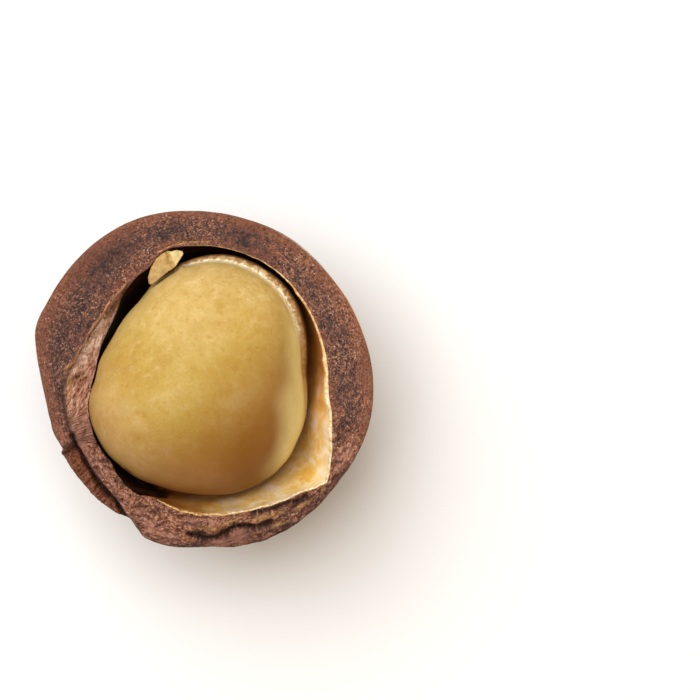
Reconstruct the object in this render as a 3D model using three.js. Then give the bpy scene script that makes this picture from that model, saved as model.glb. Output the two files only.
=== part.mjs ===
// One half of a macadamia nut, cracked open along its length, with the whole kernel still lying in it.
//
// Millimetres, +Z up. The half shell rests on its rounded underside and its broken rim lies level, so that
// from above it is a ring round the kernel, with +X to the right and +Y away from the viewer. The nut's own
// axis lies in the rim plane: the shell is thickest at the stalk end, upper left, and thinnest at the
// germination point, lower right, where the hollow runs out to a corner. Angles are in degrees,
// counterclockwise from +X.
//
// Three pieces: the half shell, the kernel, and a chip of kernel wedged between the two.

import * as THREE from 'three';

// Levels of the shell
const RIM_Z = 12.2;
const BELLY_Z = 11.6;
const FLOOR_Z = 2.6;
const REST_SPOT = { radius: 2.6, x: -0.2, y: 0.25 };
const LOWER_SHELL_RADIUS = 12.4;

// The germination point, where the wall thins to under a millimetre
const GERM_ANGLE = -40;

// Plan outline of the outside of the shell: [angle, radius]
const SHELL_OUTLINE = [
  [3, 12.55], [15, 12.33], [28, 12.2], [40, 12.13], [50, 12.2], [61, 12.3], [74, 12.3], [85, 12.39],
  [97, 12.57], [109, 12.82], [122, 12.95], [140, 12.93], [153, 12.93], [163, 13.05], [170, 12.64],
  [179, 12.12], [188, 11.83], [198, 11.8], [206, 11.72], [209, 11.93], [225, 11.98], [236, 11.97],
  [240, 11.88], [246, 12.15], [249.5, 12.55], [260, 12.65], [271, 12.5], [281, 12.7], [297, 12.8],
  [312, 12.72], [320, 12.62], [333, 12.7], [345, 12.75],
];

// Plan outline of the hollow's mouth, from the corner at the germination point round to it again
const MOUTH_OUTLINE = [
  [-40, 11.95], [-34, 11.4], [-27, 10.72], [-21, 10.25], [-14, 9.8], [-7, 9.38], [5, 9.28], [25, 9.32],
  [40, 9.5], [54, 9.7], [68, 9.8], [85, 9.9], [98, 9.95], [108, 9.98], [116, 9.3], [123, 9.06],
  [135, 8.63], [142, 8.25], [151, 8.06], [163, 8.08], [175, 8.12], [186, 8.56], [196, 9.0], [208, 9.2],
  [222, 9.3], [229, 9.6], [239, 9.9], [246, 9.62], [254, 9.8], [267, 10.1], [283, 10.27], [297, 10.6],
  [305, 10.9], [312, 11.27], [317, 11.7], [320, 11.95],
];

// Plan outline of the hollow where it is widest, under the rim
const HOLLOW_OUTLINE = [
  [0, 9.0], [20, 9.1], [40, 9.55], [60, 9.85], [78, 9.9], [95, 9.7], [108, 9.4], [120, 8.9], [135, 8.5],
  [150, 8.25], [165, 8.35], [180, 8.7], [195, 9.25], [210, 9.5], [225, 9.55], [240, 9.6], [255, 9.55],
  [270, 9.6], [290, 9.7], [305, 9.8], [320, 10.0], [335, 9.65], [347, 9.2],
];
const HOLLOW_SQUARENESS = 2.4;
const MOUTH_FADE_DEPTH = 1.8;
const GERM_PIT = { spread: 20, depth: 3.6 };

// Breaks in the rim. Lines run across it, as [angle, share] with the share 0 at the hollow and 1 at the outside.
const BEVEL = {
  from: 133, to: 203, fade: 8, drop: 1.0,
  line: [[130, 0.02], [137, 0.05], [152, 0.14], [165, 0.22], [176, 0.42], [188, 0.58], [205, 0.5]],
};
const LEDGE = {
  from: 207, to: 246, fade: 1.5, drop: 1.2, lip: 0.06,
  line: [[204, 0.55], [213, 0.47], [222, 0.53], [228, 0.54], [233, 0.6], [237, 0.7], [241, 0.88], [246, 1.05]],
};
const LOWER_BREAK = {
  from: 266, to: 288, fade: 4, drop: 0.6, lip: 0.08,
  line: [[262, 0.5], [268, 0.63], [272, 0.7], [276, 0.62], [281, 0.39], [286, 0.42], [293, 0.5]],
};
const GERM_BREAK = { from: -64, to: -18, fade: 4, drop: 0.25 };
const ROUGH = { from: 184, to: 342, fade: 8 };

// Crevices in the broken rim: points in plan, with the half width and depth of the groove
const CREVICES = [
  {
    path: [[-9.75, -4.2], [-8.95, -5.95], [-8.1, -7.5], [-6.8, -8.9], [-5.75, -10.3], [-5.2, -10.95]],
    halfWidth: 0.3, depth: 0.8,
  },
  {
    path: [[-1.1, -11.45], [0.2, -11.8], [0.9, -11.75], [2.2, -10.95], [3.9, -10.9], [5.0, -10.6]],
    halfWidth: 0.32, depth: 0.8,
  },
  { path: [[3.7, -9.9], [4.6, -9.75], [6.7, -9.05], [7.6, -8.7]], halfWidth: 0.22, depth: 0.4 },
];

const RIM_GRAIN = { sawn: 0.03, broken: 0.15, wave: 2.0 };
const RIM_EDGE = { round: 0.3, share: 0.12 };

// The kernel, a rounded egg, flatter on its stalk side
const KERNEL_CENTRE = [-0.41, 0.22, 10.2];
const KERNEL_HALF_HEIGHT = 7.4;
const KERNEL_SQUARENESS = 2.15;
const KERNEL_OUTLINE = [
  [3, 8.1], [14, 8.35], [27, 8.8], [38, 9.1], [50, 9.33], [61, 9.37], [73, 9.36], [81, 9.2], [92, 8.8],
  [101, 8.4], [110, 7.97], [117, 7.7], [123, 7.36], [130, 7.1], [140, 7.05], [150, 6.97], [160, 7.05],
  [173, 7.45], [182, 7.7], [189, 8.12], [196, 8.46], [206, 8.7], [218, 8.88], [230, 8.9], [245, 8.79],
  [260, 8.75], [270, 8.85], [280, 9.02], [292, 9.2], [303, 9.22], [317, 9.08], [325, 8.86], [334, 8.65],
  [345, 8.36], [354, 8.14],
];

// The seam between the kernel's two seed leaves: on its higher side the upper one stands in by a step
const SEAM = { angle: 42, rise: 1.6, step: 0.42, lip: 0.5 };

// The chip of kernel, wedged between the kernel and the mouth: its plan outline, and how it lies
const CHIP_OUTLINE = [
  [-3.88, 6.98], [-4.1, 7.43], [-3.98, 8.0], [-3.62, 8.65], [-3.15, 9.15], [-2.35, 9.5], [-1.75, 9.54],
  [-1.46, 9.33], [-1.68, 8.88], [-2.08, 8.33], [-2.63, 7.93], [-3.18, 7.48],
];
const CHIP = { thickness: 0.45, middleZ: 12.25, slope: 0.3, fold: 0.5, foldAt: -2.3 };

// How finely the surfaces are divided: columns as stretches [from, to, how many], closer where the rim is broken
const SHELL_COLUMNS = [[-40, -16, 9], [-16, 136, 34], [136, 204, 22], [204, 320, 50]];
const OUTSIDE_ROWS = 10;
const RIM_SHARES = [0.97, 0.92, 0.83, 0.73, 0.63, 0.54, 0.45, 0.35, 0.24, 0.12, 0];
const HOLLOW_ROWS = 9;
const KERNEL_COLUMNS = 64;
const KERNEL_ROWS = 24;

const GOLDEN_ANGLE = Math.PI * (3 - Math.sqrt(5));

const radians = (degrees) => (degrees * Math.PI) / 180;
const mix = (a, b, share) => a + (b - a) * share;
const bell = (offset, spread) => Math.exp(-((offset / spread) ** 2));

function smoothStep(low, high, value) {
  const t = Math.min(1, Math.max(0, (value - low) / (high - low)));
  return t * t * (3 - 2 * t);
}

// 1 between two angles, fading to 0 over a few degrees on either side of each
function within(angle, { from, to, fade }) {
  return smoothStep(from - fade, from + fade, angle) * (1 - smoothStep(to - fade, to + fade, angle));
}

// An angle brought into the turn that starts at the germination point
const fromGerm = (angle) => ((((angle - GERM_ANGLE) % 360) + 360) % 360) + GERM_ANGLE;

// A smooth curve through points [place, value], flat beyond its ends
function through(points) {
  const slope = points.map((_, i) => {
    const before = points[Math.max(i - 1, 0)];
    const after = points[Math.min(i + 1, points.length - 1)];
    return (after[1] - before[1]) / (after[0] - before[0]);
  });
  return (place) => {
    if (place <= points[0][0]) return points[0][1];
    if (place >= points[points.length - 1][0]) return points[points.length - 1][1];
    const next = points.findIndex((p) => p[0] > place);
    const [x0, y0] = points[next - 1];
    const [x1, y1] = points[next];
    const t = (place - x0) / (x1 - x0);
    const level = y0 * (1 + 2 * t) * (1 - t) ** 2 + y1 * t * t * (3 - 2 * t);
    return level + (x1 - x0) * (slope[next - 1] * t * (1 - t) ** 2 - slope[next] * t * t * (1 - t));
  };
}

// The same through points [angle, radius] of a closed outline, which joins smoothly at 0 degrees
function around(points) {
  const last = points.slice(-2).map(([angle, radius]) => [angle - 360, radius]);
  const first = points.slice(0, 2).map(([angle, radius]) => [angle + 360, radius]);
  const curve = through([...last, ...points, ...first]);
  return (angle) => curve(((angle % 360) + 360) % 360);
}

const shellRadius = around(SHELL_OUTLINE);
const mouthCurve = through(MOUTH_OUTLINE);
const mouthRadius = (angle) => mouthCurve(fromGerm(angle));
const widestRadius = around(HOLLOW_OUTLINE);
const kernelRadius = around(KERNEL_OUTLINE);
const bevelLine = through(BEVEL.line);
const ledgeLine = through(LEDGE.line);
const lowerLine = through(LOWER_BREAK.line);

// Uneven but repeatable relief, from -1 to 1: a few waves in spread directions
function grain(x, y, wave) {
  const waves = 6;
  let sum = 0;
  for (let i = 0; i < waves; i += 1) {
    const turn = i * GOLDEN_ANGLE;
    const frequency = ((2 * Math.PI) / wave) * (0.6 + 0.2 * i);
    sum += Math.sin(frequency * (x * Math.cos(turn) + y * Math.sin(turn)) + i * i);
  }
  return sum / Math.sqrt(waves * 2);
}

// Distance in plan from a point to a line of joined stretches
function distanceToPath(x, y, path) {
  let nearest = Infinity;
  for (let i = 1; i < path.length; i += 1) {
    const [ax, ay] = path[i - 1];
    const [bx, by] = path[i];
    const length2 = (bx - ax) ** 2 + (by - ay) ** 2;
    const t = Math.min(1, Math.max(0, ((x - ax) * (bx - ax) + (y - ay) * (by - ay)) / length2));
    nearest = Math.min(nearest, Math.hypot(x - mix(ax, bx, t), y - mix(ay, by, t)));
  }
  return nearest;
}

// How far the rim's surface stands below the sawn level, from the breaks in it
function breakDrop(angle, share) {
  const round = fromGerm(angle);
  const step = (line, lip) => smoothStep(line - lip, line + lip, share);
  const bevel = BEVEL.drop * within(round, BEVEL) * (1 - smoothStep(0, bevelLine(round), share));
  const ledge = LEDGE.drop * within(round, LEDGE) * step(ledgeLine(round), LEDGE.lip);
  const lower = LOWER_BREAK.drop * within(round, LOWER_BREAK) * step(lowerLine(round), LOWER_BREAK.lip);
  const germ = GERM_BREAK.drop * within(round > 180 ? round - 360 : round, GERM_BREAK);
  return bevel + ledge + lower + germ;
}

// Height of the rim at a share of its width
function rimHeight(angle, share, x, y) {
  const round = fromGerm(angle);
  const rough = Math.max(within(round, ROUGH), within(round, { ...ROUGH, from: -60, to: -20 }));
  const edge = RIM_EDGE.round * smoothStep(1 - RIM_EDGE.share, 1, share) ** 2;
  let height = RIM_Z - breakDrop(angle, share) - edge;
  height += mix(RIM_GRAIN.sawn, RIM_GRAIN.broken, rough) * grain(x, y, RIM_GRAIN.wave);
  for (const { path, halfWidth, depth } of CREVICES) {
    height -= depth * bell(distanceToPath(x, y, path), halfWidth);
  }
  return height;
}

// Radius of the hollow at a depth below its mouth, before its floor rounds in
function hollowRadius(angle, depth) {
  const turn = fromGerm(angle);
  const germ = bell(Math.min(turn - GERM_ANGLE, GERM_ANGLE + 360 - turn), GERM_PIT.spread);
  const fade = mix(MOUTH_FADE_DEPTH, GERM_PIT.depth, germ);
  return mix(widestRadius(angle), mouthRadius(angle), bell(depth, fade));
}

// A closed mesh from rings of equal length, each counterclockwise seen from +Z, between two end points
function closedMesh(name, rings, firstPole, lastPole, material) {
  const columns = rings[0].length;
  const points = [firstPole, ...rings.flat(), lastPole];
  const at = (ring, column) => 1 + ring * columns + (column % columns);
  const faces = [];
  for (let c = 0; c < columns; c += 1) {
    faces.push(0, at(0, c + 1), at(0, c));
    for (let r = 1; r < rings.length; r += 1) {
      faces.push(at(r - 1, c), at(r - 1, c + 1), at(r, c + 1));
      faces.push(at(r - 1, c), at(r, c + 1), at(r, c));
    }
    faces.push(points.length - 1, at(rings.length - 1, c), at(rings.length - 1, c + 1));
  }
  const geometry = new THREE.BufferGeometry();
  geometry.setAttribute('position', new THREE.Float32BufferAttribute(points.flat(), 3));
  geometry.setIndex(faces);
  geometry.computeVertexNormals();
  const mesh = new THREE.Mesh(geometry, material);
  mesh.name = name;
  return mesh;
}

// The shell's rings run from the rest spot up the outside, over the rim and down into the hollow
function halfShell() {
  const angles = SHELL_COLUMNS.flatMap(([from, to, count]) =>
    Array.from({ length: count }, (_, i) => mix(from, to, i / count)));
  const spotClimb = Math.asin(REST_SPOT.radius / LOWER_SHELL_RADIUS);
  const halfHeight = BELLY_Z / Math.cos(spotClimb);
  const ringOf = (place) => angles.map((angle, column) => {
    const { radius, z, low = 0 } = place(angle, column);
    const x = radius * Math.cos(radians(angle)) + REST_SPOT.x * low;
    const y = radius * Math.sin(radians(angle)) + REST_SPOT.y * low;
    return [x, y, typeof z === 'function' ? z(x, y) : z];
  });
  const rings = [];

  // The outside is an ellipse in section, whose plan turns from the rest spot's circle into the outline
  const edgeRing = ringOf((angle) => ({ radius: shellRadius(angle), z: (x, y) => rimHeight(angle, 1, x, y) }));
  for (let r = 0; r <= OUTSIDE_ROWS; r += 1) {
    rings.push(ringOf((angle, column) => {
      const top = Math.acos((BELLY_Z - edgeRing[column][2]) / halfHeight);
      const climb = mix(spotClimb, top, r / OUTSIDE_ROWS);
      const radius = mix(LOWER_SHELL_RADIUS, shellRadius(angle), Math.sin(climb) ** 2) * Math.sin(climb);
      return { radius, z: r === 0 ? 0 : BELLY_Z - halfHeight * Math.cos(climb), low: Math.cos(climb) ** 2 };
    }));
  }

  for (const share of RIM_SHARES) {
    rings.push(ringOf((angle) => ({
      radius: mix(mouthRadius(angle), shellRadius(angle), share),
      z: (x, y) => rimHeight(angle, share, x, y),
    })));
  }

  const mouth = rings[rings.length - 1];
  for (let r = 1; r < HOLLOW_ROWS; r += 1) {
    const turn = (Math.PI / 2) * (r / HOLLOW_ROWS);
    rings.push(ringOf((angle, column) => {
      const depth = (mouth[column][2] - FLOOR_Z) * Math.sin(turn) ** (2 / HOLLOW_SQUARENESS);
      const radius = hollowRadius(angle, depth) * Math.cos(turn) ** (2 / HOLLOW_SQUARENESS);
      return { radius, z: mouth[column][2] - depth };
    }));
  }

  const material = new THREE.MeshStandardMaterial({ color: 0x6f4638, roughness: 0.7, metalness: 0 });
  return closedMesh('half_shell', rings, [REST_SPOT.x, REST_SPOT.y, 0], [0, 0, FLOOR_Z], material);
}

// The kernel's rings run from its underside to its top
function kernel() {
  const [cx, cy, cz] = KERNEL_CENTRE;
  const power = KERNEL_SQUARENESS;
  const rings = [];
  for (let r = 1; r < KERNEL_ROWS; r += 1) {
    const climb = Math.PI * (r / KERNEL_ROWS - 0.5);
    rings.push(Array.from({ length: KERNEL_COLUMNS }, (_, c) => {
      const angle = (360 * c) / KERNEL_COLUMNS;
      const level = (Math.cos(climb) / kernelRadius(angle)) ** power;
      const upright = (Math.abs(Math.sin(climb)) / KERNEL_HALF_HEIGHT) ** power;
      const reach = (level + upright) ** (-1 / power);
      const height = reach * Math.sin(climb);
      const facing = Math.cos(radians(angle - SEAM.angle));
      const above = smoothStep(0, SEAM.lip, height - SEAM.rise * facing);
      const across = (reach - SEAM.step * Math.max(0, facing) * above) * Math.cos(climb);
      return [cx + across * Math.cos(radians(angle)), cy + across * Math.sin(radians(angle)), cz + height];
    }));
  }
  const material = new THREE.MeshStandardMaterial({ color: 0xdcb568, roughness: 0.45, metalness: 0 });
  const bottom = [cx, cy, cz - KERNEL_HALF_HEIGHT];
  const top = [cx, cy, cz + KERNEL_HALF_HEIGHT];
  return closedMesh('kernel', rings, bottom, top, material);
}

// The chip is a thin flake that leans from the mouth's edge towards the kernel, with its far end folded up
function kernelChip() {
  const count = CHIP_OUTLINE.length;
  const cx = CHIP_OUTLINE.reduce((sum, [x]) => sum + x, 0) / count;
  const cy = CHIP_OUTLINE.reduce((sum, [, y]) => sum + y, 0) / count;
  const lie = (x, y) => {
    const inwards = Math.hypot(cx, cy) - Math.hypot(x, y);
    return CHIP.middleZ + CHIP.slope * inwards + CHIP.fold * smoothStep(CHIP.foldAt, CHIP.foldAt + 0.9, x);
  };
  const ring = (scale, lift) => CHIP_OUTLINE.map(([x, y]) => {
    const px = mix(cx, x, scale);
    const py = mix(cy, y, scale);
    return [px, py, lie(px, py) + lift];
  }).reverse();
  const half = CHIP.thickness / 2;
  const rings = [
    ring(0.5, -half), ring(0.9, -half), ring(1, -half / 2), ring(1, half / 2), ring(0.9, half), ring(0.5, half),
  ];
  const material = new THREE.MeshStandardMaterial({ color: 0xd8bb78, roughness: 0.5, metalness: 0 });
  return closedMesh('kernel_chip', rings, [cx, cy, lie(cx, cy) - half], [cx, cy, lie(cx, cy) + half], material);
}

const nut = new THREE.Group();
nut.name = 'macadamia_half';
nut.add(halfShell(), kernel(), kernelChip());

export default nut;
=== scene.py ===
"""One half of a cracked macadamia nut with its kernel: fine surfaces, materials, light and camera.

Shapes are worked out in millimetres in the row frame, +Z up, and made in metres. Seen from above, the broken
rim of the half shell is a ring round the kernel. Angles are in degrees, counterclockwise from +X.
"""

import math

import bpy
import numpy as np
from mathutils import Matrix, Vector


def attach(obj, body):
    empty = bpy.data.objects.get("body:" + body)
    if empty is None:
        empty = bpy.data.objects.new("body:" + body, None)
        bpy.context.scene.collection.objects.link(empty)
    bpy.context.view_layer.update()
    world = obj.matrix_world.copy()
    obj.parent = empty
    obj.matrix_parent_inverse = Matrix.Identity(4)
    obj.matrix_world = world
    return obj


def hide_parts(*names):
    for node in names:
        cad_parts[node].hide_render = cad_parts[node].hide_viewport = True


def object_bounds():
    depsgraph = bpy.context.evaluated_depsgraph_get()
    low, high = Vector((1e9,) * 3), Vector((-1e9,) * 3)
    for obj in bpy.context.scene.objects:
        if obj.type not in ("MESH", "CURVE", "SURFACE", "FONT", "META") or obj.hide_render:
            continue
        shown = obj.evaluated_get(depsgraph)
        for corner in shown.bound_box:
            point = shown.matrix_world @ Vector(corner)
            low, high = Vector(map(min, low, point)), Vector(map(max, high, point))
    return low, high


MM = 0.001

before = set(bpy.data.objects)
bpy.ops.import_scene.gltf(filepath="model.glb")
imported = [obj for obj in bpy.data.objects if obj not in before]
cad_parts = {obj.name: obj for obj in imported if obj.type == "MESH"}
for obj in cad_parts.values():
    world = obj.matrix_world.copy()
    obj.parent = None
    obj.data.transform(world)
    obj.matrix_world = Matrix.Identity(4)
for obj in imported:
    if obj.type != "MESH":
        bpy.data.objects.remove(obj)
cad_low, cad_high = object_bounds()


# Sizes shared with the source solids, in mm

RIM_Z = 12.2
BELLY_Z = 11.6
FLOOR_Z = 2.6
REST_SPOT_RADIUS = 2.6
REST_SPOT_CENTRE = (-0.2, 0.25)
LOWER_SHELL_RADIUS = 12.4
GERM_ANGLE = -40

# Plan outlines of the outside, of the hollow's mouth and of the hollow where it is widest: (angle, radius)
SHELL_OUTLINE = [
    (3, 12.55), (15, 12.33), (28, 12.2), (40, 12.13), (50, 12.2), (61, 12.3), (74, 12.3), (85, 12.39),
    (97, 12.57), (109, 12.82), (122, 12.95), (140, 12.93), (153, 12.93), (163, 13.05), (170, 12.64),
    (179, 12.12), (188, 11.83), (198, 11.8), (206, 11.72), (209, 11.93), (225, 11.98), (236, 11.97),
    (240, 11.88), (246, 12.15), (249.5, 12.55), (260, 12.65), (271, 12.5), (281, 12.7), (297, 12.8),
    (312, 12.72), (320, 12.62), (333, 12.7), (345, 12.75),
]
MOUTH_OUTLINE = [
    (-40, 11.95), (-34, 11.4), (-27, 10.72), (-21, 10.25), (-14, 9.8), (-7, 9.38), (5, 9.28), (25, 9.32),
    (40, 9.5), (54, 9.7), (68, 9.8), (85, 9.9), (98, 9.95), (108, 9.98), (116, 9.3), (123, 9.06),
    (135, 8.63), (142, 8.25), (151, 8.06), (163, 8.08), (175, 8.12), (186, 8.56), (196, 9.0), (208, 9.2),
    (222, 9.3), (229, 9.6), (239, 9.9), (246, 9.62), (254, 9.8), (267, 10.1), (283, 10.27), (297, 10.6),
    (305, 10.9), (312, 11.27), (317, 11.7), (320, 11.95),
]
HOLLOW_OUTLINE = [
    (0, 9.0), (20, 9.1), (40, 9.55), (60, 9.85), (78, 9.9), (95, 9.7), (108, 9.4), (120, 8.9), (135, 8.5),
    (150, 8.25), (165, 8.35), (180, 8.7), (195, 9.25), (210, 9.5), (225, 9.55), (240, 9.6), (255, 9.55),
    (270, 9.6), (290, 9.7), (305, 9.8), (320, 10.0), (335, 9.65), (347, 9.2),
]
HOLLOW_SQUARENESS = 2.4
MOUTH_FADE_DEPTH = 1.8
GERM_PIT_SPREAD, GERM_PIT_DEPTH = 20, 3.6

# Breaks in the rim: (angle from, angle to, fade), drop, and the line that each starts at as (angle, share),
# with the share 0 at the hollow and 1 at the outside. A lip is half the share that the step down takes.
BEVEL_SPAN, BEVEL_DROP = (133, 203, 8), 1.0
BEVEL_LINE = [(130, 0.02), (137, 0.05), (152, 0.14), (165, 0.22), (176, 0.42), (188, 0.58), (205, 0.5)]
LEDGE_SPAN, LEDGE_DROP, LEDGE_LIP = (207, 246, 1.5), 1.2, 0.06
LEDGE_LINE = [
    (204, 0.55), (213, 0.47), (222, 0.53), (228, 0.54), (233, 0.6), (237, 0.7), (241, 0.88), (246, 1.05),
]
LOWER_SPAN, LOWER_DROP, LOWER_LIP = (266, 288, 4), 0.6, 0.08
LOWER_LINE = [(262, 0.5), (268, 0.63), (272, 0.7), (276, 0.62), (281, 0.39), (286, 0.42), (293, 0.5)]
GERM_SPAN, GERM_DROP = (-64, -18, 4), 0.25
ROUGH_SPANS = ((184, 342, 8), (-60, -20, 8))

# Crevices: path in plan, half width, depth
CREVICES = [
    ([(-9.75, -4.2), (-8.95, -5.95), (-8.1, -7.5), (-6.8, -8.9), (-5.75, -10.3), (-5.2, -10.95)], 0.3, 0.8),
    ([(-1.1, -11.45), (0.2, -11.8), (0.9, -11.75), (2.2, -10.95), (3.9, -10.9), (5.0, -10.6)], 0.32, 0.8),
    ([(3.7, -9.9), (4.6, -9.75), (6.7, -9.05), (7.6, -8.7)], 0.22, 0.4),
]
# Broad waves of the rim: their depth where it is sawn and where it is broken, and their length
SAWN_GRAIN, BROKEN_GRAIN, GRAIN_WAVE = 0.03, 0.15, 2.0
# How far the rim's outer edge is rounded down, and over what share of the rim
RIM_ROUND, RIM_ROUND_SHARE = 0.3, 0.12

KERNEL_CENTRE = (-0.41, 0.22, 10.2)
KERNEL_HALF_HEIGHT = 7.4
KERNEL_SQUARENESS = 2.15
KERNEL_OUTLINE = [
    (3, 8.1), (14, 8.35), (27, 8.8), (38, 9.1), (50, 9.33), (61, 9.37), (73, 9.36), (81, 9.2), (92, 8.8),
    (101, 8.4), (110, 7.97), (117, 7.7), (123, 7.36), (130, 7.1), (140, 7.05), (150, 6.97), (160, 7.05),
    (173, 7.45), (182, 7.7), (189, 8.12), (196, 8.46), (206, 8.7), (218, 8.88), (230, 8.9), (245, 8.79),
    (260, 8.75), (270, 8.85), (280, 9.02), (292, 9.2), (303, 9.22), (317, 9.08), (325, 8.86), (334, 8.65),
    (345, 8.36), (354, 8.14),
]
# The seam's higher side, and how far it rises there above the kernel's middle
SEAM_ANGLE, SEAM_RISE = 42, 1.6

# The chip: plan outline, and how it lies
CHIP_OUTLINE = [
    (-3.88, 6.98), (-4.1, 7.43), (-3.98, 8.0), (-3.62, 8.65), (-3.15, 9.15), (-2.35, 9.5), (-1.75, 9.54),
    (-1.46, 9.33), (-1.68, 8.88), (-2.08, 8.33), (-2.63, 7.93), (-3.18, 7.48),
]
CHIP_THICKNESS, CHIP_MIDDLE_Z, CHIP_SLOPE = 0.45, 12.25, 0.3
CHIP_FOLD, CHIP_FOLD_AT = 0.5, -2.3


# Sizes of the fine detail, in mm

# Mean radius of the wall, which turns an angle into a length along it, and the fibres' direction on the bevel
WALL_RADIUS = 11.3
BEVEL_WAY = (0.34, 0.94)
# Where the rim is still sawn outside the bevel, although it is rough already: (angle from, angle to, fade)
STILL_SAWN_SPAN = (174, 203, 3)
# Relief of the rim: fibres, knots and splinters where it is torn, grain where it is sawn, and the long streak
FIBRE_DEPTH, KNOT_DEPTH, SPLINTER_DEPTH, SAWN_DEPTH, STREAK_HEIGHT = 0.42, 0.13, 0.12, 0.02, 0.09
# The outside at the lower left notch: how far it stands out, angle and spread, and the low swell beside it
NOTCH_BUMPS = ((-0.03, 206.3, 0.5), (0.18, 207.5, 0.8))
SWELL_HEIGHT, SWELL_SPAN = 0.06, (197, 206.3, 1.5)
# Where the mouth stands in a little, behind the chip
MOUTH_INSET, MOUTH_INSET_SPAN = 0.09, (106, 119, 3)

# Width of the lining's pale edge round the mouth: (angle, width)
LIP_WIDTH = [
    (-40, 0.14), (-30, 0.2), (-12, 0.28), (8, 0.27), (25, 0.2), (45, 0.15), (60, 0.08), (80, 0.05),
    (96, 0.03), (104, 0.0), (246.5, 0.0), (252, 0.1), (262, 0.15), (290, 0.15), (310, 0.15), (320, 0.14),
]
# Rings of that edge: (share of its width, rise as a share of the width up to LIP_FULL)
LIP_FULL = 0.12
LIP_PROFILE = ((0.2, 0.35), (0.5, 0.45), (0.8, 0.2), (1.0, -0.3))
# Where the lining turns from cream to dark brown: a line across the hollow, by two points in plan
LINING_LINE = ((6.5, 6.7), (-3.4, -8.7))
# How far the lining leans in under the mouth: (lean, over what depth, angle, spread)
LINING_LEANS = ((0.55, 2.6, -35, 60), (0.6, 2.0, -24, 19))

# Patches of the rim by colour: (x, y, half length, half width, turn in degrees)
PATCHES = {
    # Pale patches: paler fibres on the torn rim at the left, and a painted highlight on the lining by the
    # mouth at the right
    "pale_and_highlight": [(-8.15, 2.9, 1.9, 0.4, 60), (9.2, -4.4, 1.4, 0.25, 88)],
    "golden": [(8.1, -5.2, 1.4, 0.4, 50), (6.2, -7.6, 1.2, 0.25, 35)],
    "pink": [
        (-8.7, -5.6, 2.0, 0.16, 123), (-6.95, 4.5, 1.4, 0.22, 65), (-8.45, 0.3, 1.3, 0.28, 78),
        (-8.7, -2.6, 1.3, 0.3, 100), (-7.7, -6.5, 2.6, 0.22, 126), (10.5, -5.6, 1.3, 0.5, 62),
        (-4.3, -10.4, 1.4, 0.35, 145), (-10.35, -4.3, 0.8, 0.45, 110), (-2.9, -11.6, 1.1, 0.3, 165),
        (0.6, -10.5, 1.6, 0.25, 5), (5.4, 9.35, 0.9, 0.25, 141),
    ],
    "plain": [(2.75, -11.7, 0.8, 0.5, 15), (1.2, -12.1, 0.8, 0.25, 0)],
    "tan": [
        (5.38, -9.98, 0.5, 0.16, 15), (5.65, -10.75, 0.45, 0.13, 20), (4.3, -10.3, 0.7, 0.17, 8),
        (7.3, -9.4, 0.6, 0.12, 30), (8.88, -8.14, 0.2, 0.16, 60), (2.0, -10.6, 0.9, 0.1, 20),
        (0.6, -11.1, 1.0, 0.1, -8), (-10.1, 0.5, 0.5, 0.2, 60), (-9.9, -0.3, 0.6, 0.2, 80),
    ],
    # Dark patches: the shell's own darker tone at the left, and painted shade on the outer edge at the bottom
    # and lower right
    "dark_and_shade": [
        (5.7, -11.0, 2.2, 0.7, 22), (8.9, -8.7, 2.2, 0.4, 48), (7.6, -8.95, 1.2, 0.15, 26),
        (-11.0, 1.6, 1.6, 0.5, 92), (-10.35, -2.2, 1.6, 0.35, 102), (-9.7, -4.3, 0.35, 0.2, 90),
        (-0.9, -12.35, 1.3, 0.22, 0), (-9.45, 0.15, 0.25, 0.2, 30), (-10.4, 3.2, 1.6, 0.5, 72),
        (-6.7, 9.3, 1.6, 0.5, 38),
    ],
}
# Orange-brown streaks: path in plan, half width
STREAK_PATHS = [
    ([(-6.6, 6.1), (-7.05, 5.5), (-7.4, 4.9), (-8.1, 4.0), (-8.65, 3.0), (-9.25, 2.0), (-9.65, 1.2),
      (-10.3, 0.7)], 0.075),
    ([(-7.28, 4.67), (-7.75, 3.95), (-8.2, 3.2), (-8.94, 2.15)], 0.04),
    ([(-2.25, -10.06), (-2.64, -10.26), (-2.48, -10.53), (-2.11, -10.99)], 0.045),
    ([(-3.4, 9.4), (-2.2, 9.95), (-0.9, 10.2), (0.4, 10.15)], 0.05),
    ([(-5.9, 6.9), (-6.4, 6.3), (-6.9, 5.6)], 0.05),
    ([(-10.6, -5.35), (-9.9, -5.25)], 0.05),
]
# Small creases in the broken rim: path in plan, half width, depth
CREASES = [
    ([(-5.2, -9.5), (-4.7, -9.4), (-4.1, -9.5)], 0.07, 0.28),
    ([(-4.8, -10.2), (-3.9, -10.35)], 0.08, 0.28),
    ([(-3.6, -10.95), (-2.9, -10.6)], 0.09, 0.3),
    ([(-7.3, -6.4), (-6.8, -6.7), (-6.3, -6.8)], 0.07, 0.25),
    ([(-7.4, -7.6), (-6.8, -7.95)], 0.07, 0.28),
    ([(-5.9, -8.95), (-5.7, -9.1)], 0.1, 0.25),
    ([(3.45, -10.8), (3.25, -11.4), (3.55, -12.0)], 0.08, 0.22),
    ([(-2.6, -9.95), (-0.9, -10.35), (0.8, -10.4)], 0.07, 0.2),
    ([(-9.2, 1.0), (-8.9, 0.4)], 0.1, 0.25),
    ([(-9.6, -1.3), (-9.5, -2.1)], 0.1, 0.25),
]

# Colour zones round the shell: (angle, spread) where they fade evenly, or (angle from, angle to, fade)
# The first zone is where painted shade makes the lining orange-brown below the mouth
SHADE_ZONE, INNER_DARK_ZONE, QUIET_OUTER_ZONE, QUIET_TOP_ZONE = (14, 27), (30, 45), (130, 20), (70, 17)
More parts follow.
